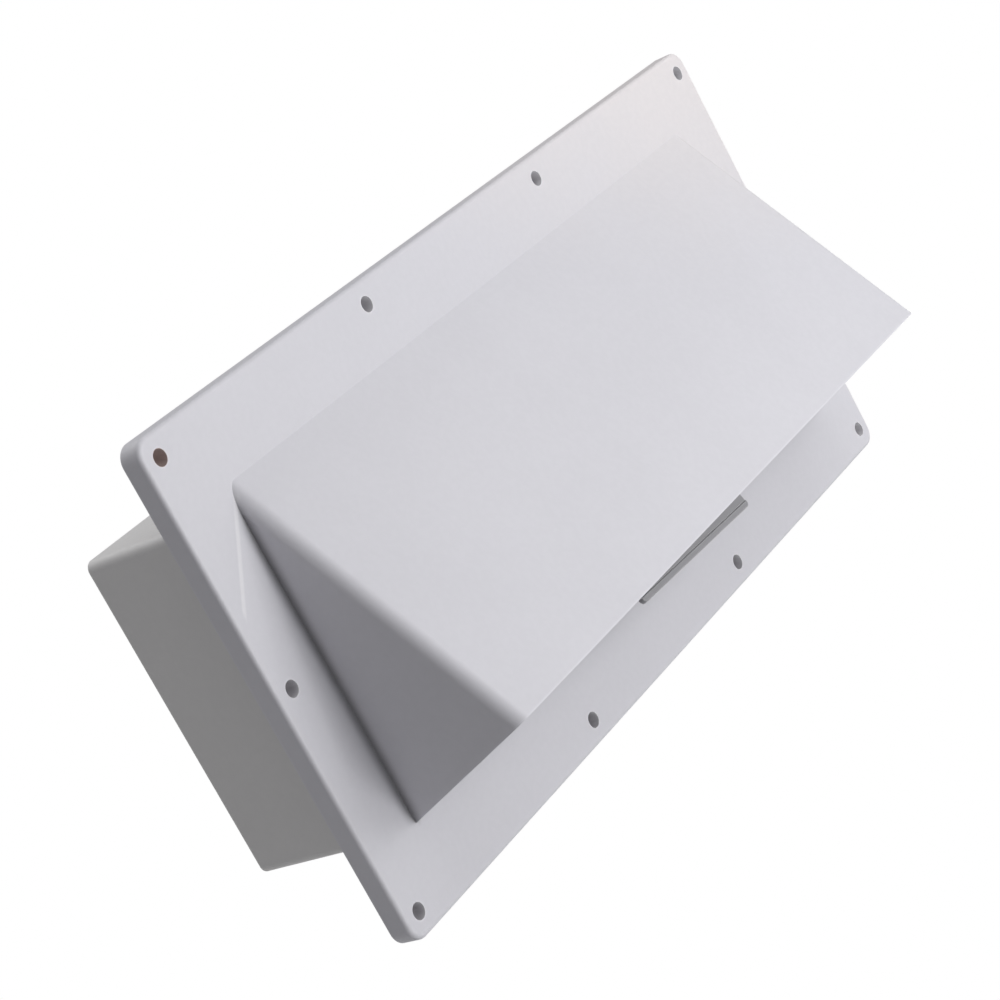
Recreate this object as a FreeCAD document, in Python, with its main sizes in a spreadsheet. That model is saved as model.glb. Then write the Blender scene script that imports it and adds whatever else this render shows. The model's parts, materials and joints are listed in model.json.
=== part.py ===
"""Side-wall vent cover: screw flange with a rain hood, duct collar and lockable damper flap.

Frame: X to the right as one faces the cover, Z up, +Y into the wall. The origin is the centre of the
flange, in the plane where the flange meets the wall. Depths are given as "out", the distance in front
of that plane, so a point's Y is minus its out.
"""

import FreeCAD, Part
import math
import os

import Sketcher

# Driving dimensions, in millimetres and degrees.
SIZES = {
    # flange
    "flange_width": 336.0,
    "flange_height": 162.0,
    "flange_depth": 7.3,
    "flange_corner": 5.5,
    "flange_rim": 1.4,
    "flange_wall": 2.6,
    "screw_radius": 2.6,
    "screw_boss": 5.0,
    "screw_outer_x": 160.9,
    "screw_inner_x": 53.6,
    "screw_z": 73.7,
    "rib_wall": 1.2,
    # rain hood
    "hood_half": 144.4,
    "hood_wall": 2.4,
    "hood_top": 56.5,
    "hood_foot": -54.6,
    "lip_out": 60.2,
    "lip_z": -34.1,
    "hood_edge": 4.4,
    # duct collar and its mounting plate
    "collar_half": 146.5,
    "collar_top": 49.9,
    "collar_bottom": -58.0,
    "collar_depth": 56.0,
    "collar_wall": 2.5,
    "collar_corner": 3.0,
    "plate_half": 154.6,
    "plate_lip": 8.0,
    "plate_back": 2.0,
    "plate_front": 3.6,
    "throat_half": 128.0,
    "throat_top": 36.4,
    "throat_bottom": -42.0,
    "fixing_x": 95.0,
    "fixing_side_x": 150.6,
    "fixing_inset": 4.0,
    "fixing_shank": 1.3,
    "fixing_head": 2.6,
    "fixing_head_tall": 1.5,
    # seals
    "gasket_half": 154.9,
    "gasket_top": 67.5,
    "seal_width": 2.0,
    "seal_thick": 1.4,
    # damper flap and its hinge, the angle being how far the flap hangs open at rest
    "axis_out": 6.6,
    "axis_z": 41.4,
    "rest_angle": 15.0,
    "barrel_radius": 2.6,
    "ear_radius": 2.8,
    "ear_width": 2.6,
    "ear_outer_x": 132.2,
    "ear_inner_x": 42.7,
    "rod_radius": 1.25,
    "rod_half": 137.2,
    "cap_radius": 2.9,
    "cap_width": 1.7,
    "flap_half": 131.0,
    "flap_drop": 86.0,
    "flap_thick": 1.8,
    "flap_ahead": 0.3,
    "flap_rib": 1.5,
    "flap_web": 1.0,
    "tab_half": 36.6,
    "tab_drop": 95.9,
    "tab_skew": 2.6,
    "tab_step": 1.2,
    "grip_band": 2.1,
    "grip_proud": 0.45,
    "grip_corner": 1.6,
    "grip_edge": 0.4,
    # travel locks
    "lock_x": 135.9,
    "lock_z": -38.0,
    "lock_boss": 3.6,
    "lock_boss_out": 8.5,
    "button_hub": 4.0,
    "button_arm": 13.0,
    "button_tip": 2.6,
    "button_thick": 2.2,
    "button_grip": 1.4,
    "pivot_radius": 1.5,
    "washer_radius": 3.1,
    "washer_thick": 0.5,
    "head_radius": 2.8,
    "head_tall": 1.8,
    # gaps
    "running_gap": 0.05,
    "loose_gap": 0.4,
    "axial_gap": 0.1,
}

RIBS_PER_SCREW = 3        # ribs between the centre line and an inner screw
RIB_STEPS_ACROSS = 8      # ribs either side of the centre line, along the long edges
RIB_STEPS_UP = 3          # the same along the short edges
WELD_SHARE = 0.25         # how much of a wall a joined-on piece sinks into it
SKIN_SHARE = 0.33         # how much of the flange's wall is left in front of a blind pilot hole
SLOT_SLIMNESS = 4         # reach of a cross-head recess over half the width of its arms
ARM_ROOT = 0.9            # half-width of a button's arm where it leaves the hub, over the hub's radius
NEAR = 1e-3               # two positions (mm), volumes (mm3) or directions this close are the same


def amount(value):
    return value.number if isinstance(value, Size) else float(value)


def formula(value):
    return value.formula if isinstance(value, Size) else f"{float(value):.6g}"


class Size:
    """A number together with the spreadsheet formula that drives it."""

    def __init__(self, number, text):
        self.number = number
        self.formula = text

    def __add__(self, other):
        return Size(self.number + amount(other), f"({self.formula} + {formula(other)})")

    def __sub__(self, other):
        return Size(self.number - amount(other), f"({self.formula} - {formula(other)})")

    def __mul__(self, factor):
        return Size(self.number * amount(factor), f"({self.formula} * {formula(factor)})")

    def __truediv__(self, divisor):
        return Size(self.number / amount(divisor), f"({self.formula} / {formula(divisor)})")

    def __neg__(self):
        return Size(-self.number, f"(-1 * {self.formula})")


WALL_PLANE = Size(0.0, "0")


class Sheet:
    """The spreadsheet of driving dimensions; sheet.name gives the Size held by that cell."""

    def __init__(self, doc):
        self.cells = doc.addObject("Spreadsheet::Sheet", "sizes")
        for row, (name, number) in enumerate(SIZES.items(), start=1):
            self.cells.set(f"A{row}", name)
            self.cells.set(f"B{row}", str(number))
            self.cells.setAlias(f"B{row}", name)
        doc.recompute()

    def __getattr__(self, name):
        return Size(float(self.cells.get(name)), f"sizes.{name}")


# ---------------------------------------------------------------- sketches and features

def new_body(doc, name):
    body = doc.addObject("PartDesign::Body", name)
    body.Label = name
    return body


def sketch_on(body, role, name, offset=None):
    """Empty sketch on one of the body's own origin planes, moved along its normal by a driven offset."""
    sketch = body.newObject("Sketcher::SketchObject", name)
    plane = next(item for item in body.Origin.OriginFeatures if item.Role == role)
    sketch.AttachmentSupport = [(plane, "")]
    sketch.MapMode = "FlatFace"
    if offset is not None:
        sketch.setExpression(".AttachmentOffset.Base.z", formula(offset))
    return sketch


def hold_point(sketch, geometry, point, across, up):
    """Hold one point of a sketch at driven distances from the sketch's two axes."""
    for kind, axis, value in (("DistanceX", -2, across), ("DistanceY", -1, up)):
        if amount(value) == 0.0:
            sketch.addConstraint(Sketcher.Constraint("PointOnObject", geometry, point, axis))
            continue
        index = sketch.addConstraint(
            Sketcher.Constraint(kind, -1, 1, geometry, point, amount(value))
        )
        if isinstance(value, Size):
            sketch.setExpression(f"Constraints[{index}]", value.formula)


def add_outline(sketch, corners):
    """Closed outline of straight lines through the corners."""
    points = [FreeCAD.Vector(amount(across), amount(up), 0) for across, up in corners]
    first = sketch.GeometryCount
    total = len(points)
    for index in range(total):
        sketch.addGeometry(Part.LineSegment(points[index], points[(index + 1) % total]))
    for index in range(total):
        following = first + (index + 1) % total
        sketch.addConstraint(Sketcher.Constraint("Coincident", first + index, 2, following, 1))
    for index, (across, up) in enumerate(corners):
        hold_point(sketch, first + index, 1, across, up)


def add_rectangle(sketch, left, right, bottom, top):
    add_outline(sketch, [(left, bottom), (right, bottom), (right, top), (left, top)])


def add_rounded_rectangle(sketch, half_width, half_height, radius):
    """Centred rectangle with round corners, each corner's centre held where its arc needs it."""
    first = sketch.GeometryCount
    reach_x = half_width - radius
    reach_y = half_height - radius
    size = amount(radius)
    signs = [(1, 1), (-1, 1), (-1, -1), (1, -1)]
    for quarter, (across, up) in enumerate(signs):
        centre = FreeCAD.Vector(amount(reach_x) * across, amount(reach_y) * up, 0)
        circle = Part.Circle(centre, FreeCAD.Vector(0, 0, 1), size)
        start = quarter * math.pi / 2
        sketch.addGeometry(Part.ArcOfCircle(circle, start, start + math.pi / 2))
    for quarter in range(4):
        following = (quarter + 1) % 4
        line = Part.LineSegment(sketch.Geometry[first + quarter].EndPoint,
                                sketch.Geometry[first + following].StartPoint)
        side = sketch.addGeometry(line)
        sketch.addConstraint(Sketcher.Constraint("Tangent", first + quarter, 2, side, 1))
        sketch.addConstraint(Sketcher.Constraint("Tangent", side, 2, first + following, 1))
        if quarter:
            sketch.addConstraint(Sketcher.Constraint("Equal", first, first + quarter))
    for quarter, (across, up) in enumerate(signs):
        hold_point(sketch, first + quarter, 3, reach_x * across, reach_y * up)
    index = sketch.addConstraint(Sketcher.Constraint("Radius", first, size))
    sketch.setExpression(f"Constraints[{index}]", formula(radius))


def add_circle(sketch, across, up, radius):
    centre = FreeCAD.Vector(amount(across), amount(up), 0)
    circle = Part.Circle(centre, FreeCAD.Vector(0, 0, 1), amount(radius))
    geometry = sketch.addGeometry(circle)
    hold_point(sketch, geometry, 3, across, up)
    index = sketch.addConstraint(Sketcher.Constraint("Radius", geometry, amount(radius)))
    sketch.setExpression(f"Constraints[{index}]", formula(radius))


def extrude(body, kind, sketch, length, symmetric=False):
    """Pad or Pocket of a sketch; a Pocket runs against the sketch's normal."""
    feature = body.newObject(f"PartDesign::{kind}", sketch.Label + "_" + kind.lower())
    feature.Profile = sketch
    if symmetric:
        feature.SideType = "Symmetric"
    feature.setExpression("Length", formula(length))
    base = feature.BaseFeature
    before = base.Shape.Volume if base is not None else 0.0
    body.Document.recompute()
    grew = feature.Shape.Volume - before
    if (kind == "Pad") != (grew > 0) or abs(grew) < NEAR:
        raise RuntimeError(f"{feature.Name} changed the volume by {grew:.3f}")
    return feature


def layer(body, kind, name, draw, back, front):
    """Pad or Pocket parallel to the wall, from one out to another; draw fills in its sketch."""
    start = back if kind == "Pad" else front
    sketch = sketch_on(body, "XZ_Plane", name, start)
    draw(sketch)
    return extrude(body, kind, sketch, front - back)


def profile(body, kind, name, corners, length, middle=None):
    """Pad or Pocket across the width of a (out, z) outline, centred on a driven X."""
    sketch = sketch_on(body, "YZ_Plane", name, middle)
    add_outline(sketch, [(-out, height) for out, height in corners])
    return extrude(body, kind, sketch, length, symmetric=True)


def round_edges(body, feature, name, radius, chosen):
    """Fillet the edges of a feature's shape that the test picks out."""
    edges = [f"Edge{n}" for n, edge in enumerate(feature.Shape.Edges, start=1) if chosen(edge)]
    if not edges:
        raise RuntimeError(f"{name}: no edge to round")
    treated = body.newObject("PartDesign::Fillet", name)
    treated.Base = (feature, edges)
    treated.setExpression("Radius", formula(radius))
    body.Document.recompute()
    return treated


def runs_along(edge, axis):
    """True for a straight edge parallel to the unit axis."""
    if edge.Curve.TypeId != "Part::GeomLine":
        return False
    return abs(abs(edge.tangentAt(edge.FirstParameter).dot(axis)) - 1.0) < NEAR


def repeat(body, feature, role, pitch, steps):
    """Copy a feature a number of steps along one of the body's axes."""
    axis = next(item for item in body.Origin.OriginFeatures if item.Role == role)
    pattern = body.newObject("PartDesign::LinearPattern", feature.Name + "_row")
    pattern.Originals = [feature]
    pattern.Direction = (axis, [""])
    pattern.setExpression("Length", formula(pitch * steps))
    pattern.Occurrences = steps + 1
    body.Tip = pattern
    body.Document.recompute()


ALONG_X = FreeCAD.Vector(1, 0, 0)
ALONG_Y = FreeCAD.Vector(0, 1, 0)


# ---------------------------------------------------------------- shared layout

def wall_screws(s):
    """Centres of the ten wall screws: four along each long edge and one at each end."""
    rows = [(x * side, s.screw_z * level)
            for x in (s.screw_outer_x, s.screw_inner_x) for side in (-1, 1) for level in (-1, 1)]
    return rows + [(s.screw_outer_x * side, 0) for side in (-1, 1)]


def collar_middle(s):
    return (s.collar_top + s.collar_bottom) / 2


def fixings(s):
    """Centres of the six screws that hold the collar plate to the back of the cover."""
    high = s.collar_top + s.fixing_inset
    low = s.collar_bottom - s.fixing_inset
    rows = [(s.fixing_x * side, level) for side in (-1, 1) for level in (high, low)]
    return rows + [(s.fixing_side_x * side, collar_middle(s)) for side in (-1, 1)]


def slope_rise(s):
    """Height gained per millimetre of depth lost, up the hood's sloping face."""
    return (s.hood_top - s.lip_z) / (s.lip_out - s.flange_depth)


# ---------------------------------------------------------------- hood_cover

def build_hood_cover(doc, s):
    body = new_body(doc, "hood_cover")
    half_width = s.flange_width / 2
    half_height = s.flange_height / 2
    skin_back = s.flange_depth - s.flange_wall

    plate = layer(body, "Pad", "flange",
                  lambda k: add_rounded_rectangle(k, half_width, half_height, s.flange_corner),
                  WALL_PLANE, s.flange_depth)
    front = -amount(s.flange_depth)
    round_edges(body, plate, "flange_rim", s.flange_rim,
                lambda edge: abs(edge.CenterOfMass.y - front) < NEAR)

    inner_width = half_width - s.flange_wall
    inner_height = half_height - s.flange_wall
    inner_corner = s.flange_corner - s.flange_wall
    layer(body, "Pocket", "skirt_recess",
          lambda k: add_rounded_rectangle(k, inner_width, inner_height, inner_corner),
          WALL_PLANE, skin_back)

    overlap = s.flange_wall * WELD_SHARE
    layer(body, "Pad", "screw_bosses",
          lambda k: [add_circle(k, x, z, s.screw_boss) for x, z in wall_screws(s)],
          WALL_PLANE, skin_back + overlap)
    add_recess_ribs(body, s, skin_back + overlap)
    layer(body, "Pad", "fixing_pads",
          lambda k: [add_circle(k, x, z, s.fixing_head + s.loose_gap) for x, z in fixings(s)],
          s.plate_front, skin_back + overlap)

    add_hood(body, s)

    layer(body, "Pocket", "screw_holes",
          lambda k: [add_circle(k, x, z, s.screw_radius) for x, z in wall_screws(s)],
          WALL_PLANE, s.flange_depth)
    layer(body, "Pocket", "fixing_pilots",
          lambda k: [add_circle(k, x, z, s.fixing_shank + s.running_gap) for x, z in fixings(s)],
          s.plate_front, s.flange_depth - s.flange_wall * SKIN_SHARE)
    return body


def add_recess_ribs(body, s, front):
    """Short ribs in the flange's recess, from the skirt in to the collar plate."""
    half = s.rib_wall / 2
    wall_x = s.flange_width / 2 - s.flange_wall / 2
    wall_z = s.flange_height / 2 - s.flange_wall / 2
    pitch = s.screw_inner_x / RIBS_PER_SCREW
    high = s.collar_top + s.plate_lip + s.loose_gap
    low = s.collar_bottom - s.plate_lip - s.loose_gap
    side = s.plate_half + s.loose_gap

    def draw_upright(sketch):
        start = pitch * -RIB_STEPS_ACROSS
        add_rectangle(sketch, start - half, start + half, high, wall_z)
        add_rectangle(sketch, start - half, start + half, -wall_z, low)

    def draw_level(sketch):
        start = pitch * -RIB_STEPS_UP
        add_rectangle(sketch, side, wall_x, start - half, start + half)
        add_rectangle(sketch, -wall_x, -side, start - half, start + half)

    upright = layer(body, "Pad", "upright_ribs", draw_upright, s.plate_back, front)
    repeat(body, upright, "X_Axis", pitch, RIB_STEPS_ACROSS * 2)
    level = layer(body, "Pad", "level_ribs", draw_level, s.plate_back, front)
    repeat(body, level, "Z_Axis", pitch, RIB_STEPS_UP * 2)


def add_hood(body, s):
    """Wedge-shaped hood: one sloping face, two flat cheeks, and a mouth that slants down to the wall."""
    rise = slope_rise(s)
    root = s.flange_depth - s.flange_wall / 2
    root_z = s.hood_top + rise * (s.flange_depth - root)
    wedge = profile(body, "Pad", "hood_wedge",
                    [(root, root_z), (s.lip_out, s.lip_z), (s.flange_depth, s.hood_foot),
                     (root, s.hood_foot)],
                    s.hood_half * 2)
    out_per_rise = 1.0 / amount(rise)
    slope = FreeCAD.Vector(0, -out_per_rise, -1).normalize()
    wedge = round_edges(body, wedge, "hood_edges", s.hood_edge,
                        lambda edge: runs_along(edge, slope)
                        and abs(abs(edge.CenterOfMass.x) - amount(s.hood_half)) < NEAR)

    # The inner slope is the outer one moved in by the wall thickness, measured square to the slope.
    drop = s.hood_wall * math.hypot(1.0, amount(rise))
    inner_top = s.hood_top - drop
    below = s.hood_foot - s.flange_wall
    deepest = s.flange_depth + (inner_top - below) / rise
    inner_half = s.hood_half - s.hood_wall
    cavity = profile(body, "Pocket", "hood_cavity",
                     [(s.flange_depth, inner_top), (deepest, below), (s.flange_depth, below)],
                     inner_half * 2)
    round_edges(body, cavity, "cavity_edges", s.hood_edge - s.hood_wall,
                lambda edge: runs_along(edge, slope)
                and abs(abs(edge.CenterOfMass.x) - amount(inner_half)) < NEAR)
    layer(body, "Pocket", "air_opening",
          lambda k: add_rectangle(k, -inner_half, inner_half, s.hood_foot + s.hood_wall, inner_top),
          s.flange_depth - s.flange_wall, s.flange_depth)


# ---------------------------------------------------------------- duct_collar

def build_duct_collar(doc, s):
    body = new_body(doc, "duct_collar")
    top = s.collar_top
    bottom = s.collar_bottom
    half = s.collar_half
    wall = s.collar_wall
    lip = s.plate_lip

    plate = layer(body, "Pad", "plate",
                  lambda k: add_rectangle(k, -s.plate_half, s.plate_half, bottom - lip, top + lip),
                  s.plate_back, s.plate_front)
    round_edges(body, plate, "plate_corners", s.flange_corner / 2,
                lambda edge: runs_along(edge, ALONG_Y))
    sleeve = layer(body, "Pad", "sleeve",
                   lambda k: add_rectangle(k, -half, half, bottom, top),
                   -s.collar_depth, s.plate_front)
    sleeve = round_edges(body, sleeve, "sleeve_corners", s.collar_corner,
                         lambda edge: runs_along(edge, ALONG_Y)
                         and abs(abs(edge.CenterOfMass.x) - amount(half)) < NEAR
                         and edge.CenterOfMass.y > 0)
    inside = layer(body, "Pocket", "sleeve_inside",
                   lambda k: add_rectangle(k, wall - half, half - wall, bottom + wall, top - wall),
                   -s.collar_depth, s.plate_back)
    round_edges(body, inside, "inside_corners", s.collar_corner / 2,
                lambda edge: runs_along(edge, ALONG_Y)
                and abs(abs(edge.CenterOfMass.x) - amount(half - wall)) < NEAR
                and edge.CenterOfMass.y > 0)
    layer(body, "Pocket", "throat",
          lambda k: add_rectangle(k, -s.throat_half, s.throat_half, s.throat_bottom, s.throat_top),
          s.plate_back, s.plate_front)
    layer(body, "Pocket", "fixing_holes",
          lambda k: [add_circle(k, x, z, s.fixing_shank + s.loose_gap) for x, z in fixings(s)],
          s.plate_back, s.plate_front)
    layer(body, "Pad", "lock_bosses",
          lambda k: [add_circle(k, s.lock_x * side, s.lock_z, s.lock_boss) for side in (-1, 1)],
          (s.plate_back + s.plate_front) / 2, s.lock_boss_out)
    layer(body, "Pocket", "lock_pilots",
          lambda k: [add_circle(k, s.lock_x * side, s.lock_z, s.fixing_shank + s.running_gap)
                     for side in (-1, 1)],
          s.plate_front - s.axial_gap, s.lock_boss_out)
    add_hinge_ears(body, s)
    return body


def add_hinge_ears(body, s):
    """Four ears that carry the hinge rod, each a square block with a round nose."""
    width = s.ear_width
    middles = [(x + width / 2) * side for x in (s.ear_inner_x, s.ear_outer_x) for side in (-1, 1)]
    layer(body, "Pad", "ear_blocks",
          lambda k: [add_rectangle(k, x - width / 2, x + width / 2,
                                   s.axis_z - s.ear_radius, s.axis_z + s.ear_radius)
                     for x in middles],
          (s.plate_back + s.plate_front) / 2, s.axis_out)
    for number, x in enumerate(middles, start=1):
        nose = sketch_on(body, "YZ_Plane", f"ear_nose_{number}", x)
        add_circle(nose, -s.axis_out, s.axis_z, s.ear_radius)
        extrude(body, "Pad", nose, width, symmetric=True)
    bore = sketch_on(body, "YZ_Plane", "ear_bore")
    add_circle(bore, -s.axis_out, s.axis_z, s.rod_radius + s.running_gap)
    extrude(body, "Pocket", bore, s.rod_half * 2, symmetric=True)


# ---------------------------------------------------------------- seals and collar screws

def build_wall_gasket(doc, s):
    body = new_body(doc, "wall_gasket")
    gap = s.loose_gap

    def draw(sketch):
        add_rectangle(sketch, -s.gasket_half, s.gasket_half, -s.gasket_top, s.gasket_top)
        add_rectangle(sketch, -s.collar_half - gap, s.collar_half + gap,
                      s.collar_bottom - gap, s.collar_top + gap)
        for x, z in fixings(s):
            add_circle(sketch, x, z, s.fixing_head + gap)

    layer(body, "Pad", "foam_ring", draw, WALL_PLANE, s.plate_back)
    return body


def build_flap_seal(doc, s):
    body = new_body(doc, "flap_seal")
    width = s.seal_width
    gap = s.axial_gap

    def draw(sketch):
        add_rectangle(sketch, -s.throat_half - width - gap, s.throat_half + width + gap,
                      s.throat_bottom - width - gap, s.throat_top + width + gap)
        add_rectangle(sketch, -s.throat_half - gap, s.throat_half + gap,
                      s.throat_bottom - gap, s.throat_top + gap)

    layer(body, "Pad", "foam_seat", draw, s.plate_front, s.plate_front + s.seal_thick)
    return body


def cross_slot(sketch, x, z, reach):
    """Cross-head recess, as one twelve-cornered outline."""
    thin = reach / SLOT_SLIMNESS
    arms = [(reach, thin), (thin, thin), (thin, reach)]
    corners = []
    for turn in range(4):
        for across, up in arms:
            for _ in range(turn):
                across, up = -up, across
            corners.append((x + across, z + up))
    add_outline(sketch, corners)


def build_collar_screws(doc, s):
    """Six pan-head self-tapping screws, put in from behind."""
    body = new_body(doc, "collar_screws")
    head_back = s.plate_back - s.fixing_head_tall
    head = layer(body, "Pad", "heads",
                 lambda k: [add_circle(k, x, z, s.fixing_head) for x, z in fixings(s)],
                 head_back, s.plate_back)
    back = -amount(head_back)
    round_edges(body, head, "head_crowns", s.fixing_head_tall / 2,
                lambda edge: abs(edge.BoundBox.YMin - back) < NEAR)
    shank_end = s.flange_depth - s.flange_wall / 2
    layer(body, "Pad", "shanks",
          lambda k: [add_circle(k, x, z, s.fixing_shank) for x, z in fixings(s)],
          s.plate_back - s.axial_gap, shank_end)
    layer(body, "Pocket", "cross_slots",
          lambda k: [cross_slot(k, x, z, s.fixing_head / 2) for x, z in fixings(s)],
          head_back, head_back + s.fixing_head_tall / 2)
    return body


# ---------------------------------------------------------------- damper flap and its hinge

def hang(item, s):
    """Put a piece drawn about the hinge axis in place, swung out to the flap's resting angle."""
    swing = FreeCAD.Rotation(-ALONG_X, amount(s.rest_angle))
    item.Placement = FreeCAD.Placement(FreeCAD.Vector(), swing)
    item.setExpression(".Placement.Rotation.Angle", formula(s.rest_angle))
    item.setExpression(".Placement.Base.y", formula(-s.axis_out))
    item.setExpression(".Placement.Base.z", formula(s.axis_z))


def build_damper_flap(doc, s):
    """Panel drawn hanging straight down from the hinge axis, with a rim, ribs and a finger tab."""
    body = new_body(doc, "damper_flap")
    front = s.flap_ahead
    back = s.flap_ahead - s.flap_thick
    rim_front = front + s.flap_rib
    half = s.flap_half

    layer(body, "Pad", "panel",
          lambda k: add_rectangle(k, -half, half, -s.flap_drop, -s.barrel_radius / 2), back, front)
    layer(body, "Pad", "rim_and_ribs", lambda k: draw_flap_ribs(k, s), (back + front) / 2, rim_front)

    barrel = sketch_on(body, "YZ_Plane", "barrel")
    add_circle(barrel, 0, 0, s.barrel_radius)
    extrude(body, "Pad", barrel, half * 2, symmetric=True)
    reach = s.barrel_radius * 2
    clear = s.loose_gap
    for side in (-1, 1):
        middle = (s.ear_inner_x + s.ear_width / 2) * side
        gap = s.ear_width / 2 + clear
        layer(body, "Pocket", "ear_gap_left" if side < 0 else "ear_gap_right",
              lambda k, middle=middle: add_rectangle(k, middle - gap, middle + gap, -reach, reach),
              -reach, reach)
    bore = sketch_on(body, "YZ_Plane", "rod_bore")
    add_circle(bore, 0, 0, s.rod_radius)
    extrude(body, "Pocket", bore, s.rod_half * 2, symmetric=True)
    add_finger_tab(body, s)
    hang(body, s)
    return body


def draw_flap_ribs(sketch, s):
    """Rim along the two sides and the foot of the panel, and three upright ribs."""
    thick = s.flap_rib
    half = s.flap_half
    top = -s.barrel_radius * 2
    foot = -s.flap_drop
    add_outline(sketch, [(-half, top), (-half, foot), (half, foot), (half, top), (half - thick, top),
                         (half - thick, foot + thick), (thick - half, foot + thick),
                         (thick - half, top)])
    for step in (-1, 0, 1):
        middle = half / 2 * step
        add_rectangle(sketch, middle - s.flap_web / 2, middle + s.flap_web / 2,
                      foot + thick * 2, top)


def add_finger_tab(body, s):
    """Tab stepped forward of the panel to clear the flange, with a thicker band along its skew foot."""
    back = s.flap_ahead + s.tab_step
    front = back + s.flap_thick
    thin = front - s.grip_proud
    root = -s.flap_drop + s.flap_rib
    half = s.tab_half
    left_foot = s.tab_skew - s.tab_drop
    right_foot = -s.tab_drop
    profile(body, "Pad", "tab_step",
            [(s.flap_ahead - s.flap_thick, root), (s.flap_ahead - s.flap_thick, -s.flap_drop),
             (thin, -s.flap_drop), (thin, root)], half * 2)
    layer(body, "Pad", "tab",
          lambda k: add_outline(k, [(-half, root), (-half, left_foot),
                                    (half, right_foot), (half, root)]),
          back, thin)
    grip = layer(body, "Pad", "grip",
                 lambda k: add_outline(k, [(-half, left_foot + s.grip_band), (-half, left_foot),
                                           (half, right_foot), (half, right_foot + s.grip_band)]),
                 back, front)
    below_panel = -amount(s.flap_drop) - NEAR
    corners = round_edges(body, grip, "grip_corners", s.grip_corner,
                          lambda edge: runs_along(edge, ALONG_Y) and edge.Length > amount(s.flap_thick) - NEAR
                          and edge.BoundBox.ZMax < below_panel)
    face = -amount(front) + NEAR
    round_edges(body, corners, "grip_edge", s.grip_edge, lambda edge: edge.BoundBox.YMax < face)


def build_hinge_rod(doc, s):
    rod = doc.addObject("Part::Cylinder", "hinge_rod")
    rod.Label = "hinge_rod"
    rod.setExpression("Radius", formula(s.rod_radius))
    rod.setExpression("Height", formula(s.rod_half * 2))
    lie_along_x(rod, -s.rod_half, s)
    return rod


def lie_along_x(item, start, s):
    """Lay an item drawn up its own Z axis along the hinge axis, from the given X."""
    item.Placement = FreeCAD.Placement(FreeCAD.Vector(), FreeCAD.Rotation(ALONG_Y, 90))
    item.setExpression(".Placement.Base.x", formula(start))
    item.setExpression(".Placement.Base.y", formula(-s.axis_out))
    item.setExpression(".Placement.Base.z", formula(s.axis_z))


def build_rod_retainers(doc, s):
    """Two push-on caps, one over each end of the rod just outside the outer ears."""
    caps = []
    ear_end = s.ear_outer_x + s.ear_width + s.axial_gap * 2
    for side in ("left", "right"):
        start = ear_end if side == "right" else -ear_end - s.cap_width
        disc = doc.addObject("Part::Cylinder", f"cap_disc_{side}")
        disc.setExpression("Radius", formula(s.cap_radius))
        disc.setExpression("Height", formula(s.cap_width))
        lie_along_x(disc, start, s)
        hole = doc.addObject("Part::Cylinder", f"cap_hole_{side}")
        hole.setExpression("Radius", formula(s.rod_radius))
        hole.setExpression("Height", formula(s.cap_width))
        lie_along_x(hole, start, s)
        cap = doc.addObject("Part::Cut", f"cap_{side}")
        cap.Base = disc
        cap.Tool = hole
        caps.append(cap)
    group = doc.addObject("Part::Compound", "rod_retainers")
    group.Label = "rod_retainers"
    group.Links = caps
    return group


# ---------------------------------------------------------------- travel locks

def stand_at_lock(item, side, s):
    """Put a piece drawn about a lock's pivot at the left (-1) or right (1) lock."""
    item.setExpression(".Placement.Base.x", formula(s.lock_x * side))
    item.setExpression(".Placement.Base.z", formula(s.lock_z))


def build_lock_button(doc, s, side, name):
    """Turn button, drawn with its arm hanging down beside the flap."""
    body = new_body(doc, name)
    back = s.lock_boss_out + s.axial_gap
    front = back + s.button_thick
    hub = s.button_hub
    tip = s.button_tip
    arm = s.button_arm
    layer(body, "Pad", "hub", lambda k: add_circle(k, 0, 0, hub), back, front)
    layer(body, "Pad", "arm",
          lambda k: add_outline(k, [(-hub * ARM_ROOT, 0), (-tip, tip - arm),
                                    (tip, tip - arm), (hub * ARM_ROOT, 0)]),
          back, front)
    layer(body, "Pad", "tip", lambda k: add_circle(k, 0, tip - arm, tip), back, front)
    layer(body, "Pad", "grip",
          lambda k: add_rectangle(k, -s.button_grip / 2, s.button_grip / 2,
                                  tip / 2 - arm, -hub - s.loose_gap),
          (back + front) / 2, front + s.button_grip)
    layer(body, "Pocket", "pivot_bore",
          lambda k: add_circle(k, 0, 0, s.pivot_radius + s.running_gap), back, front)
    stand_at_lock(body, side, s)
    return body


def build_lock_washer(doc, s, side, name):
    body = new_body(doc, name)
    back = s.lock_boss_out + s.button_thick + s.axial_gap * 2

    def draw(sketch):
        add_circle(sketch, 0, 0, s.washer_radius)
        add_circle(sketch, 0, 0, s.pivot_radius + s.running_gap)

    layer(body, "Pad", "ring", draw, back, back + s.washer_thick)
    stand_at_lock(body, side, s)
    return body


def build_lock_screw(doc, s, side, name):
    """Shouldered screw: cross head, a shoulder for the button to turn on, and a thread in the boss."""
    body = new_body(doc, name)
    seat = s.lock_boss_out + s.button_thick + s.axial_gap * 2 + s.washer_thick
    crown = seat + s.head_tall
    head = layer(body, "Pad", "head", lambda k: add_circle(k, 0, 0, s.head_radius), seat, crown)
    front = -amount(crown)
    round_edges(body, head, "head_crown", s.head_tall / 2,
                lambda edge: abs(edge.BoundBox.YMax - front) < NEAR)
    layer(body, "Pad", "shoulder", lambda k: add_circle(k, 0, 0, s.pivot_radius),
          s.lock_boss_out, seat + s.axial_gap)
    layer(body, "Pad", "thread", lambda k: add_circle(k, 0, 0, s.fixing_shank),
          s.plate_front, s.lock_boss_out + s.axial_gap)
    middle = Size(0.0, "0")
    layer(body, "Pocket", "cross_slot",
          lambda k: cross_slot(k, middle, middle, s.head_radius / 2),
          crown - s.head_tall / 2, crown)
    stand_at_lock(body, side, s)
    return body


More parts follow.
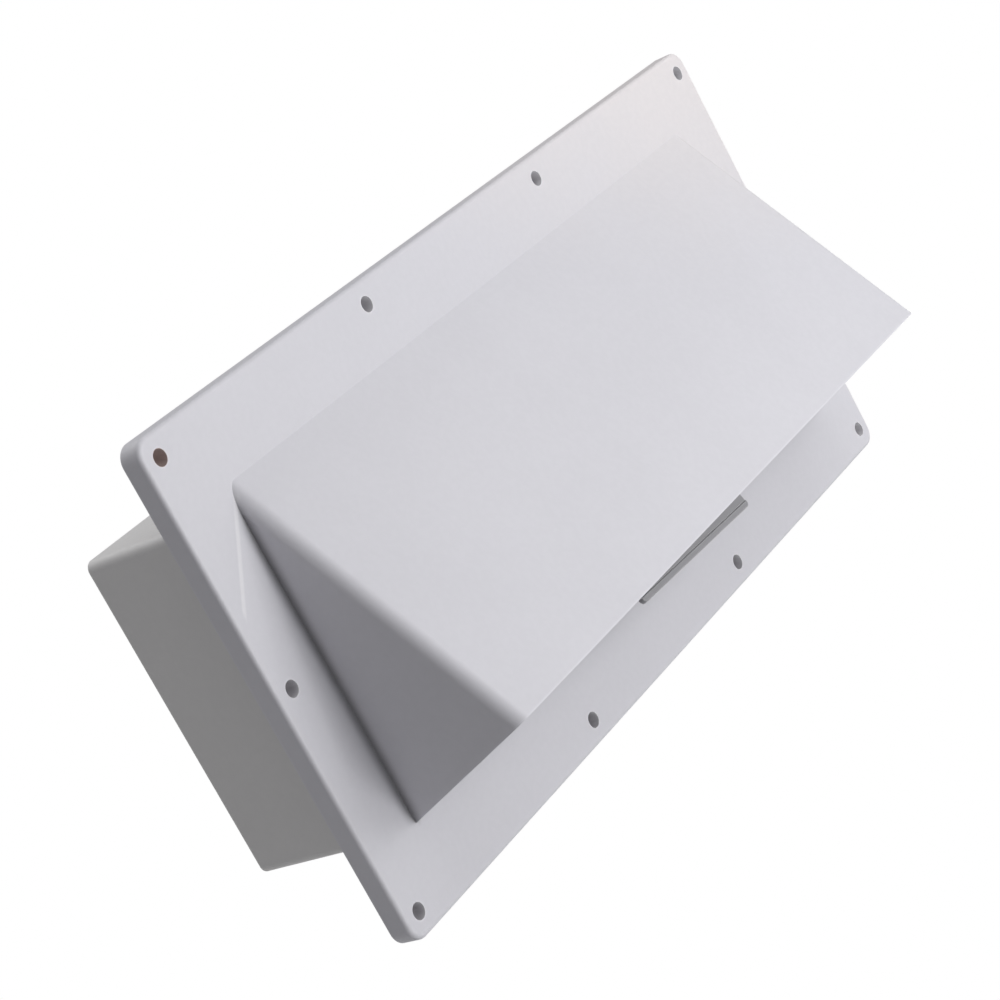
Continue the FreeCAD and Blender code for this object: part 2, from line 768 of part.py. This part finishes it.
# ---------------------------------------------------------------- document

def build_all(doc):
    s = Sheet(doc)
    pieces = [
        build_hood_cover(doc, s),
        build_duct_collar(doc, s),
        build_wall_gasket(doc, s),
        build_flap_seal(doc, s),
        build_collar_screws(doc, s),
        build_damper_flap(doc, s),
        build_hinge_rod(doc, s),
        build_rod_retainers(doc, s),
    ]
    for side, word in ((-1, "left"), (1, "right")):
        pieces.append(build_lock_button(doc, s, side, f"lock_button_{word}"))
        pieces.append(build_lock_washer(doc, s, side, f"lock_washer_{word}"))
        pieces.append(build_lock_screw(doc, s, side, f"lock_screw_{word}"))
    doc.recompute()
    return pieces


def check(doc, pieces):
    for item in doc.Objects:
        if "Invalid" in item.State or "Error" in item.State:
            raise RuntimeError(f"{item.Name} failed: {item.State}")
    for piece in pieces:
        if piece.Shape.isNull() or not piece.Shape.isValid():
            raise RuntimeError(f"{piece.Label} has no valid shape")


def main():
    doc = FreeCAD.newDocument("vent_cover")
    pieces = build_all(doc)
    check(doc, pieces)
    os.makedirs("parts", exist_ok=True)
    for piece in pieces:
        piece.Shape.exportStep(f"parts/{piece.Label}.step")
        print(piece.Label, len(piece.Shape.Solids), "solids", round(piece.Shape.Volume), "mm3")


main()
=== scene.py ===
import json
import math

import bpy
from mathutils import Matrix, Vector

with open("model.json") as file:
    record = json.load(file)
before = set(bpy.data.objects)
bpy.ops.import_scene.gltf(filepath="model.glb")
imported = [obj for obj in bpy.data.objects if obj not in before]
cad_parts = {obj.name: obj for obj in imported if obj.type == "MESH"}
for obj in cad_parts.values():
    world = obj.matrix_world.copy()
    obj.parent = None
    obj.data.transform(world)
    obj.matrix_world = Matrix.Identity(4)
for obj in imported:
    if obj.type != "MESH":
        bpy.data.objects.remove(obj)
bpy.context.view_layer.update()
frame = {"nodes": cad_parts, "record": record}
MM = 0.001

# Base colours, linear.
COVER = (0.655, 0.650, 0.690)
COVER_WARM_LIGHT = (0.760, 0.725, 0.728)
BORE_PAINTED_LIGHT = (0.900, 0.890, 0.910)
BORE_PAINTED_SHADE = (0.590, 0.580, 0.605)
RUST = (0.535, 0.440, 0.415)
HOOD_GLINT = (0.840, 0.830, 0.850)
COLLAR = (0.745, 0.737, 0.734)
FLAP = (0.315, 0.313, 0.328)
BUTTON = (0.600, 0.595, 0.600)
FOAM = (0.035, 0.035, 0.038)
SEAL = (0.060, 0.058, 0.058)
ZINC = (0.62, 0.63, 0.65)
ROD = (0.60, 0.59, 0.57)
CAP = (0.33, 0.33, 0.34)
TARNISH = (0.60, 0.55, 0.48)
PALEST = 0.95

# Screw holes of the cover, from the record: X and Z distances from its middle, and their radius.
MOUNTS = {mount["name"]: mount["dims"] for mount in frame["record"]["mounts"]}
PATTERNS = [MOUNTS["corner_screws"], MOUNTS["middle_screws"], MOUNTS["side_screws"]]
SCREWS = [(p["spacing_x_mm"] * MM / 2, p.get("spacing_y_mm", 0.0) * MM / 2) for p in PATTERNS]
BORE = MOUNTS["corner_screws"]["hole_r_mm"] * MM
BORE_RIM = 0.2 * MM
# The bores get painted light at the mouth and painted shade deeper in, between these places in Y,
# which lie further back by the next value per metre of X.
BORE_SHADE_FADE = (-7.7 * MM, -3.0 * MM)
BORE_SHADE_LEAN = 0.007
# Painted highlight line, a reflection of the hood, across one corner of the flange, metres: X and Z of
# its ends, and how it fades sideways.
GLINT_START = (-0.1430, 0.0530)
GLINT_END = (-0.1630, 0.0245)
GLINT_FADE = (0.3 * MM, 1.1 * MM)
GLINT_SHARE = 0.45
# Painted warm light: the warm, paler tint grows towards the +X +Z corner, by these amounts per metre.
WARM_LIGHT_PULL = (3.0, 6.0)
WARM_LIGHT_BAND = (0.45, 1.15)

# How much finer clouds count in every noise pattern.
NOISE_ROUGHNESS = 0.55
# Painted shade in creases: how far away other surfaces count, and the openness where the painted shade
# starts and ends.
CREASE_REACH = 5.5 * MM
CREASE_BAND = (0.46, 0.94)
CREASE_SHARE = 0.66
CREASE_SAMPLES = 12
# Painted highlight on edges: the cosine between true and rounded-over normal that counts as edge and
# as flat.
EDGE_BAND = (0.93, 0.998)
EDGE_SAMPLES = 6

# Camera: the point it looks at, its direction from there in degrees, distance, roll and lens.
TARGET = Vector((-15.09, 15.2, -7.46)) * MM
AZIMUTH = -50.63
ELEVATION = 11.66
DISTANCE = 881.22 * MM
ROLL = -28.50
LENS = 98.77
SENSOR = 36.0

# Soft boxes: name, azimuth and elevation in degrees, distance and side in metres, power in watts.
LIGHTS = [
    ("key_near", 19, 10, 0.85, 0.4, 2.0),
    ("key_far", 4, -7, 1.5, 0.4, 6.9),
    ("side", 55, 20, 1.5, 1.2, 4.3),
    ("brow", 5, 52, 1.2, 0.7, 2.0),
    ("back", 180, 60, 1.5, 1.2, 9.3),
]
WHITE = (1.0, 1.0, 1.0, 1.0)
# Light of the surroundings: its strength from straight below and from straight above.
SKY = (0.215, 0.265)
SKY_COLOR = (0.985, 0.98, 1.0, 1.0)
# Floor: its colour, half its width and its height, metres.
FLOOR_COLOR = (0.8, 0.8, 0.8, 1.0)
FLOOR_HALF = 3.0
FLOOR_HEIGHT = -0.75


# ---------------------------------------------------------------- material kit

def shade(color, gain):
    """The colour made darker or paler."""
    return tuple(min(PALEST, c * gain) for c in color)


class Shader:
    """A material being wired up, with one method per kind of pattern or step."""

    def __init__(self, name):
        self.material = bpy.data.materials.new(name)
        self.material.use_nodes = True
        self.tree = self.material.node_tree
        self.bsdf = self.tree.nodes["Principled BSDF"]
        self.place = self.add("TexCoord").outputs["Object"]

    def add(self, kind):
        return self.tree.nodes.new("ShaderNode" + kind)

    def feed(self, target, value):
        """Link the input to a socket, or set it to a plain number or colour."""
        if isinstance(value, bpy.types.NodeSocket):
            self.tree.links.new(value, target)
        elif target.type == "RGBA":
            target.default_value = (*value, 1.0)
        else:
            target.default_value = value

    def math(self, kind, first, second=0.0, clamp=False):
        node = self.add("Math")
        node.operation = kind
        node.use_clamp = clamp
        self.feed(node.inputs[0], first)
        self.feed(node.inputs[1], second)
        return node.outputs[0]

    def span(self, value, band, out=(0.0, 1.0)):
        """The value's way through the band, brought smoothly from the first output to the second."""
        node = self.add("MapRange")
        node.interpolation_type = "SMOOTHSTEP"
        for index, item in enumerate((value, *band, *out)):
            self.feed(node.inputs[index], item)
        return node.outputs[0]

    def mix(self, share, first, second):
        """The second colour laid over the first by the given share."""
        node = self.add("Mix")
        node.data_type = "RGBA"
        self.feed(node.inputs[0], share)
        self.feed(node.inputs[6], first)
        self.feed(node.inputs[7], second)
        return node.outputs[2]

    def veil(self, tone, color, over, band, share=(0.0, 1.0)):
        """The tone with the colour laid over it, by a share that follows a pattern."""
        return self.mix(self.span(over, band, share), tone, color)

    def noise(self, scale, detail=4.0, stretch=None):
        """Cloudy pattern, drawn out along the axes that have a small stretch factor."""
        node = self.add("TexNoise")
        vector = self.place
        if stretch is not None:
            mapping = self.add("Mapping")
            self.feed(mapping.inputs["Vector"], self.place)
            mapping.inputs["Scale"].default_value = stretch
            vector = mapping.outputs[0]
        self.feed(node.inputs["Vector"], vector)
        node.inputs["Scale"].default_value = scale
        node.inputs["Detail"].default_value = detail
        node.inputs["Roughness"].default_value = NOISE_ROUGHNESS
        return node.outputs["Fac"]

    def cells(self, scale, feature="F1"):
        """Pattern of cells, with the distances and the random colours that it gives."""
        node = self.add("TexVoronoi")
        node.feature = feature
        self.feed(node.inputs["Vector"], self.place)
        node.inputs["Scale"].default_value = scale
        return node.outputs

    def split(self, kind, value):
        """The three channels of a colour or a vector."""
        node = self.add(kind)
        self.feed(node.inputs[0], value)
        return node.outputs

    def away(self, across, up, middle):
        """Distance in the plane of the wall from the given point."""
        dx = self.math("SUBTRACT", across, middle[0])
        dz = self.math("SUBTRACT", up, middle[1])
        squares = self.math("ADD", self.math("MULTIPLY", dx, dx), self.math("MULTIPLY", dz, dz))
        return self.math("SQRT", squares)

    def line(self, across, up, start, end):
        """Signed distance in the plane of the wall from the line through two points."""
        dx = end[0] - start[0]
        dz = end[1] - start[1]
        length = math.hypot(dx, dz)
        dx /= length
        dz /= length
        lean = self.math("SUBTRACT", self.math("MULTIPLY", across, dz), self.math("MULTIPLY", up, dx))
        return self.math("SUBTRACT", lean, start[0] * dz - start[1] * dx)

    def recess(self, reach):
        """1 in the open, falling towards 0 where other surfaces crowd in within the reach."""
        node = self.add("AmbientOcclusion")
        node.samples = CREASE_SAMPLES
        node.inputs["Distance"].default_value = reach
        return node.outputs["AO"]

    def edge(self, reach):
        """1 on edges and tight curves, 0 on flat ground: how far a rounded-over normal would lean."""
        eased = self.add("Bevel")
        eased.samples = EDGE_SAMPLES
        eased.inputs["Radius"].default_value = reach
        true = self.add("NewGeometry")
        lean = self.add("VectorMath")
        lean.operation = "DOT_PRODUCT"
        self.feed(lean.inputs[0], eased.outputs[0])
        self.feed(lean.inputs[1], true.outputs["Normal"])
        return self.span(lean.outputs["Value"], EDGE_BAND, (1.0, 0.0))

    def relief(self, *layers):
        """Normal of a surface with fine relief: each layer is a height pattern and its depth."""
        normal = None
        for height, depth in layers:
            node = self.add("Bump")
            node.inputs["Distance"].default_value = depth
            self.feed(node.inputs["Height"], height)
            if normal is not None:
                self.feed(node.inputs["Normal"], normal)
            normal = node.outputs[0]
        return normal

    def finish(self, color, rough, normal, metal=0.0, sheen=0.5):
        self.feed(self.bsdf.inputs["Base Color"], color)
        self.feed(self.bsdf.inputs["Roughness"], rough)
        self.feed(self.bsdf.inputs["Normal"], normal)
        self.feed(self.bsdf.inputs["Metallic"], metal)
        self.feed(self.bsdf.inputs["Specular IOR Level"], sheen)
        return self.material


# ---------------------------------------------------------------- materials

def moulded(name, color, marks=None, rough=0.46, edge_reach=1.2 * MM, edge_share=0.3, edge_gain=1.3):
    """Satin moulded plastic: fine grain, faint flow marks, painted shade in creases, painted highlight
    on edges, slow drift of tint.
    """
    s = Shader(name)
    grain = s.noise(scale=1900.0, detail=3.0)
    speckle = s.noise(scale=420.0, detail=5.0)
    cloud = s.noise(scale=16.0, detail=3.0)
    flow = s.noise(scale=22.0, stretch=(1.0, 1.0, 0.16))
    tone = s.veil(color, shade(color, gain=0.975), over=cloud, band=(0.3, 0.7))
    bare = 0.0
    if marks is not None:
        tone, bare = marks(s, tone, cloud)
    faint = (0.0, 0.05)
    tone = s.veil(tone, shade(color, gain=0.72), over=speckle, band=(0.36, 0.62), share=faint)
    tone = s.veil(tone, shade(color, gain=1.12), over=flow, band=(0.45, 0.75), share=faint)

    # Edges get a painted highlight, paler, and creases get painted shade, darker.  The bores have
    # neither.
    edge_highlight = s.math("MULTIPLY", s.edge(edge_reach), s.math("SUBTRACT", edge_share, bare, clamp=True))
    tone = s.mix(edge_highlight, tone, shade(color, edge_gain))
    crease_shade = s.span(s.recess(CREASE_REACH), CREASE_BAND, (CREASE_SHARE, 0.0))
    depth = s.math("MULTIPLY", crease_shade, s.math("SUBTRACT", 1.0, bare))
    tone = s.mix(depth, tone, shade(color, gain=0.16))

    patchy = s.math("ADD", speckle, s.math("MULTIPLY", cloud, 0.5))
    roughness = s.span(patchy, band=(0.5, 1.0), out=(rough - 0.05, rough + 0.07))
    skin = s.relief((grain, 0.012 * MM), (speckle, 0.02 * MM), (flow, 0.06 * MM))
    return s.finish(tone, roughness, skin, sheen=0.42)


def cover_marks(s, tone, cloud):
    """What only the cover has: painted warm light at one corner, painted light and shade in the bores,
    one rusty bore and a faint painted highlight line.
    """
    x, y, z = s.split("SeparateXYZ", s.place)
    # Painted warm light: paler and warmer towards the +X +Z corner.
    pull_x = s.math("MULTIPLY", x, WARM_LIGHT_PULL[0])
    pull_z = s.math("MULTIPLY", z, WARM_LIGHT_PULL[1])
    drift = s.math("ADD", s.math("ADD", pull_x, pull_z), s.math("MULTIPLY", cloud, 0.25))
    tone = s.veil(tone, COVER_WARM_LIGHT, over=drift, band=WARM_LIGHT_BAND)

    # The painted highlight line, a reflection of the hood, leaves the hood's top corner and runs down
    # across the flange.
    aside = s.math("ABSOLUTE", s.line(x, z, GLINT_START, GLINT_END))
    after_end = s.span(x, (GLINT_END[0] - MM, GLINT_END[0] + MM))
    before_start = s.span(x, (GLINT_START[0] - MM, GLINT_START[0] + MM), (1.0, 0.0))
    along = s.math("MULTIPLY", after_end, before_start)
    glint = s.math("MULTIPLY", s.span(aside, GLINT_FADE, (GLINT_SHARE, 0.0)), along)
    tone = s.mix(glint, tone, HOOD_GLINT)

    # The holes are mirrored left to right and top to bottom, so one quarter stands for all.
    across = s.math("ABSOLUTE", x)
    up = s.math("ABSOLUTE", z)
    nearest = s.away(across, up, SCREWS[0])
    for screw in SCREWS[1:]:
        nearest = s.math("MINIMUM", nearest, s.away(across, up, screw))
    rim = (BORE, BORE + BORE_RIM)
    bare = s.span(nearest, rim, (1.0, 0.0))
    # Painted light and shade in the bores: pale at the mouth, darker deeper in.
    level = s.math("SUBTRACT", y, s.math("MULTIPLY", x, BORE_SHADE_LEAN))
    tone = s.mix(bare, tone, s.veil(BORE_PAINTED_LIGHT, BORE_PAINTED_SHADE, over=level, band=BORE_SHADE_FADE))
    rusty = s.away(x, z, (-SCREWS[0][0], SCREWS[0][1]))
    tone = s.veil(tone, RUST, over=rusty, band=rim, share=(1.0, 0.0))
    return tone, bare


def foam(name, color, pore):
    """Closed-cell foam: packed pores with thin paler walls and a dusty bloom."""
    s = Shader(name)
    pores = s.cells(pore)["Distance"]
    walls = s.cells(pore, "DISTANCE_TO_EDGE")["Distance"]
    dust = s.noise(scale=90.0, detail=5.0)
    tone = s.veil(color, shade(color, gain=2.1), over=walls, band=(0.0, 0.12), share=(0.55, 0.0))
    tone = s.veil(tone, shade(color, gain=1.8), over=dust, band=(0.45, 0.7), share=(0.0, 0.35))
    roughness = s.span(dust, band=(0.3, 0.7), out=(0.82, 0.96))
    skin = s.relief((pores, 0.25 * MM), (s.noise(scale=1500.0), 0.03 * MM))
    return s.finish(tone, roughness, skin, sheen=0.2)


def zinc(name, color):
    """Zinc-plated steel: crystals of slightly different brightness, with dulled patches."""
    s = Shader(name)
    crystals = s.split("SeparateColor", s.cells(1300.0)["Color"])[0]
    patches = s.noise(scale=260.0, detail=5.0)
    tone = s.veil(color, shade(color, gain=0.72), over=crystals, band=(0.0, 1.0), share=(0.0, 0.35))
    tone = s.veil(tone, shade(color, gain=0.55), over=patches, band=(0.52, 0.72), share=(0.0, 0.45))
    dulled = s.math("ADD", patches, s.math("MULTIPLY", crystals, 0.3))
    roughness = s.span(dulled, band=(0.35, 0.95), out=(0.24, 0.48))
    skin = s.relief((s.noise(scale=2600.0, detail=3.0), 0.012 * MM))
    return s.finish(tone, roughness, skin, metal=1.0)


def drawn(name, color, stretch, rough):
    """Drawn or turned steel: fine scratches that all run one way, and some tarnish."""
    s = Shader(name)
    lines = s.noise(scale=2400.0, stretch=stretch)
    patches = s.noise(scale=140.0)
    tarnished = tuple(c * t for c, t in zip(color, TARNISH))
    tone = s.veil(color, shade(color, gain=0.7), over=lines, band=(0.35, 0.65), share=(0.0, 0.5))
    tone = s.veil(tone, tarnished, over=patches, band=(0.5, 0.75), share=(0.0, 0.4))
    roughness = s.span(lines, band=(0.3, 0.7), out=(rough - 0.06, rough + 0.12))
    skin = s.relief((lines, 0.02 * MM))
    return s.finish(tone, roughness, skin, metal=1.0)


cover_plastic = moulded("cover_plastic", COVER, cover_marks)
collar_plastic = moulded("collar_plastic", COLLAR, rough=0.5)
# The flap's edges get a stronger painted highlight.
flap_plastic = moulded("flap_plastic", FLAP, rough=0.5,
                       edge_reach=0.6 * MM, edge_share=0.9, edge_gain=2.0)
button_plastic = moulded("button_plastic", BUTTON, rough=0.4)
gasket_foam = foam("foam", FOAM, pore=900.0)
seal_foam = foam("seal_foam", SEAL, pore=1500.0)
screw_zinc = zinc("screw_steel", ZINC)
rod_steel = drawn("rod_steel", ROD, stretch=(0.02, 1.0, 1.0), rough=0.28)
cap_steel = drawn("cap_steel", CAP, stretch=(1.0, 0.4, 0.4), rough=0.36)

COATS = {
    "hood_cover": cover_plastic,
    "duct_collar": collar_plastic,
    "damper_flap": flap_plastic,
    "lock_button_left": button_plastic,
    "lock_button_right": button_plastic,
    "wall_gasket": gasket_foam,
    "flap_seal": seal_foam,
    "collar_screws": screw_zinc,
    "lock_screw_left": screw_zinc,
    "lock_screw_right": screw_zinc,
    "lock_washer_left": screw_zinc,
    "lock_washer_right": screw_zinc,
    "hinge_rod": rod_steel,
    "rod_retainers": cap_steel,
}
for name, node in frame["nodes"].items():
    node.data.materials.clear()
    node.data.materials.append(COATS[name])


# ---------------------------------------------------------------- edges

# Width of the broken edges of the moulded pieces.
EASED = {
    "hood_cover": 0.3 * MM,
    "duct_collar": 0.3 * MM,
    "damper_flap": 0.2 * MM,
    "lock_button_left": 0.2 * MM,
    "lock_button_right": 0.2 * MM,
}
SHARP = math.radians(50)
for name, width in EASED.items():
    bevel = frame["nodes"][name].modifiers.new("eased_edges", "BEVEL")
    bevel.width = width
    bevel.segments = 2
    bevel.limit_method = "ANGLE"
    bevel.angle_limit = SHARP


# ---------------------------------------------------------------- camera and stage

def aim(azimuth, elevation):
    """Unit vector from the object towards a viewer; azimuth 0 is straight in front, on the -Y side."""
    a = math.radians(azimuth)
    e = math.radians(elevation)
    return Vector((math.sin(a) * math.cos(e), -math.cos(a) * math.cos(e), math.sin(e)))


def place(name, data, location, turn):
    """Put a new object with the given data in the scene."""
    item = bpy.data.objects.new(name, data)
    item.location = location
    item.rotation_mode = "QUATERNION"
    item.rotation_quaternion = turn
    bpy.context.scene.collection.objects.link(item)
    return item


def add_camera():
    back = aim(AZIMUTH, ELEVATION)
    data = bpy.data.cameras.new("camera")
    data.lens = LENS
    data.sensor_width = SENSOR
    level = (-back).to_track_quat("-Z", "Y")
    roll = Matrix.Rotation(math.radians(ROLL), 3, "Z").to_quaternion()
    bpy.context.scene.camera = place("camera", data, TARGET + back * DISTANCE, level @ roll)


def add_area(name, azimuth, elevation, distance, side, power):
    """Square soft box looking at the object from the given direction."""
    data = bpy.data.lights.new(name, "AREA")
    data.shape = "SQUARE"
    data.size = side
    data.energy = power
    away = aim(azimuth, elevation)
    place(name, data, away * distance, (-away).to_track_quat("-Z", "Y"))


def add_world():
    """White behind the object; as light, surroundings that grow stronger from below to above."""
    world = bpy.data.worlds.new("studio")
    world.use_nodes = True
    nodes = world.node_tree.nodes
    links = world.node_tree.links
    nodes.clear()
    position = nodes.new("ShaderNodeTexCoord")
    split = nodes.new("ShaderNodeSeparateXYZ")
    ramp = nodes.new("ShaderNodeMapRange")
    ramp.inputs["From Min"].default_value = -1.0
    ramp.inputs["From Max"].default_value = 1.0
    ramp.inputs["To Min"].default_value = SKY[0]
    ramp.inputs["To Max"].default_value = SKY[1]
    path = nodes.new("ShaderNodeLightPath")
    fill = nodes.new("ShaderNodeBackground")
    fill.inputs["Color"].default_value = SKY_COLOR
    seen = nodes.new("ShaderNodeBackground")
    seen.inputs["Color"].default_value = WHITE
    mix = nodes.new("ShaderNodeMixShader")
    output = nodes.new("ShaderNodeOutputWorld")
    links.new(position.outputs["Generated"], split.inputs[0])
    links.new(split.outputs["Z"], ramp.inputs["Value"])
    links.new(ramp.outputs["Result"], fill.inputs["Strength"])
    links.new(path.outputs["Is Camera Ray"], mix.inputs["Fac"])
    links.new(fill.outputs[0], mix.inputs[1])
    links.new(seen.outputs[0], mix.inputs[2])
    links.new(mix.outputs[0], output.inputs["Surface"])
    bpy.context.scene.world = world


def add_floor():
    """Pale floor well below the object: white to the camera from above, not seen from below."""
    mesh = bpy.data.meshes.new("floor")
    around = [(-1, -1), (1, -1), (1, 1), (-1, 1)]
    corners = [(x * FLOOR_HALF, y * FLOOR_HALF, FLOOR_HEIGHT) for x, y in around]
    mesh.from_pydata(corners, [], [(0, 1, 2, 3)])
    material = bpy.data.materials.new("floor_white")
    material.use_nodes = True
    nodes = material.node_tree.nodes
    links = material.node_tree.links
    nodes.clear()
    path = nodes.new("ShaderNodeLightPath")
    geometry = nodes.new("ShaderNodeNewGeometry")
    lit = nodes.new("ShaderNodeBsdfDiffuse")
    lit.inputs["Color"].default_value = FLOOR_COLOR
    glow = nodes.new("ShaderNodeEmission")
    glow.inputs["Color"].default_value = WHITE
    clear = nodes.new("ShaderNodeBsdfTransparent")
    seen = nodes.new("ShaderNodeMixShader")
    sided = nodes.new("ShaderNodeMixShader")
    output = nodes.new("ShaderNodeOutputMaterial")
    links.new(path.outputs["Is Camera Ray"], seen.inputs["Fac"])
    links.new(lit.outputs[0], seen.inputs[1])
    links.new(glow.outputs[0], seen.inputs[2])
    links.new(geometry.outputs["Backfacing"], sided.inputs["Fac"])
    links.new(seen.outputs[0], sided.inputs[1])
    links.new(clear.outputs[0], sided.inputs[2])
    links.new(sided.outputs[0], output.inputs["Surface"])
    mesh.materials.append(material)
    floor = bpy.data.objects.new("floor", mesh)
    bpy.context.scene.collection.objects.link(floor)


add_camera()
add_world()
for light in LIGHTS:
    add_area(*light)
add_floor()
bpy.context.scene.view_settings.view_transform = "Standard"
